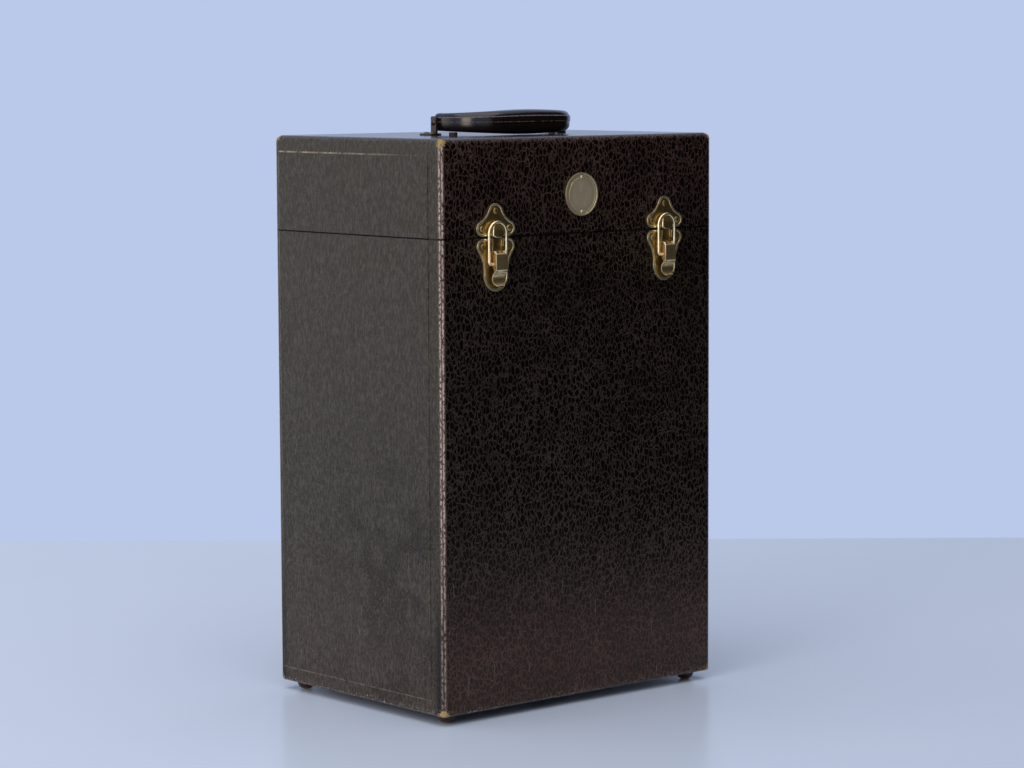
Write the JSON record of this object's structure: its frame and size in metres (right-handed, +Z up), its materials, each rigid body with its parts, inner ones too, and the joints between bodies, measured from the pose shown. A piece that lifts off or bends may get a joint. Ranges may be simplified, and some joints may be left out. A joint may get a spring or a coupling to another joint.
{
  "type": "projector carrying case",
  "caption": "Tall leathercloth-covered plywood carrying case for a slide projector, with a hinged lid, wire draw latches, a folding handle, a bare round badge and domed feet.",
  "frame": {"origin": "on the floor under the middle of the case", "axes": "+Z up, front with the latches towards -Y, +X to the right seen from the front"},
  "size_m": [0.28, 0.2187, 0.4586],
  "materials": {
    "leathercloth": "pebble-grained, half gloss, worn at the edges",
    "plywood": "sanded, bare",
    "lining_paper": "matt lining",
    "felt": "matt felt",
    "lacquered_steel": "dark brown lacquer, gloss",
    "brass": "aged, bright on the raised edges",
    "nickelled_steel": "dull nickel",
    "satin_alloy": "satin",
    "moulded_handle": "gloss, scuffed along its edges",
    "rubber": "matt"
  },
  "bodies": {
    "case_body": {"body_front_board": "plywood", "body_back_board": "plywood", "body_left_board": "plywood", "body_right_board": "plywood", "floor_board": "plywood", "body_wrap": "leathercloth", "body_left_panel": "leathercloth", "body_right_panel": "leathercloth", "body_lining": "lining_paper", "floor_pad": "felt", "rim_lip_front": "plywood", "rim_lip_left": "plywood", "rim_lip_right": "plywood", "partition": "plywood", "partition_cleats": "plywood", "foot_front_left": "lacquered_steel", "foot_front_right": "lacquered_steel", "foot_back_left": "lacquered_steel", "foot_back_right": "lacquered_steel", "latch_base_left": "brass", "latch_base_right": "brass", "latch_bracket_left": "brass", "latch_bracket_right": "brass", "lever_pins": "brass", "latch_base_nails": "brass", "hinge_body_leaf_left": "brass", "hinge_body_leaf_right": "brass", "hinge_pins": "nickelled_steel", "hinge_body_screws": "brass"},
    "lid": {"lid_top_board": "plywood", "lid_front_board": "plywood", "lid_back_board": "plywood", "lid_left_board": "plywood", "lid_right_board": "plywood", "lid_wrap": "leathercloth", "lid_left_panel": "leathercloth", "lid_right_panel": "leathercloth", "lid_lining": "lining_paper", "catch_plate_left": "brass", "catch_plate_right": "brass", "catch_nails": "brass", "badge": "satin_alloy", "badge_pins": "satin_alloy", "hinge_lid_leaf_left": "brass", "hinge_lid_leaf_right": "brass", "hinge_lid_screws": "brass", "handle_bracket_left": "lacquered_steel", "handle_bracket_right": "lacquered_steel", "handle_rivets": "nickelled_steel", "handle_backing_plates": "nickelled_steel", "handle_rests": "rubber"},
    "handle": {"handle_core": "nickelled_steel", "handle_upper_half": "moulded_handle", "handle_lower_half": "moulded_handle"},
    "latch_lever_left": {"latch_lever_left": "brass"},
    "latch_lever_right": {"latch_lever_right": "brass"},
    "latch_bail_left": {"latch_bail_left": "brass"},
    "latch_bail_right": {"latch_bail_right": "brass"}
  },
  "joints": [
    {"name": "lid_hinge", "type": "hinge", "parent": "case_body", "child": "lid", "pos_m": [0, 0.1055, 0.365], "axis": [-1, 0, 0], "range_deg": [0, 180]},
    {"name": "handle_fold", "type": "hinge", "parent": "lid", "child": "handle", "pos_m": [0, 0, 0.449], "axis": [-1, 0, 0], "range_deg": [0, 172]},
    {"name": "lever_left", "type": "hinge", "parent": "case_body", "child": "latch_lever_left", "pos_m": [-0.087, -0.1067, 0.353], "axis": [-1, 0, 0], "range_deg": [0, 125]},
    {"name": "bail_left", "type": "hinge", "parent": "latch_lever_left", "child": "latch_bail_left", "pos_m": [-0.087, -0.1053, 0.345], "axis": [-1, 0, 0], "range_deg": [-170, 0]},
    {"name": "lever_right", "type": "hinge", "parent": "case_body", "child": "latch_lever_right", "pos_m": [0.087, -0.1067, 0.353], "axis": [-1, 0, 0], "range_deg": [0, 125]},
    {"name": "bail_right", "type": "hinge", "parent": "latch_lever_right", "child": "latch_bail_right", "pos_m": [0.087, -0.1053, 0.345], "axis": [-1, 0, 0], "range_deg": [-170, 0]}
  ],
  "couplings": [
    {"joint": "bail_left", "follows": "lever_left", "ratio": -1.35},
    {"joint": "bail_right", "follows": "lever_right", "ratio": -1.35}
  ]
}
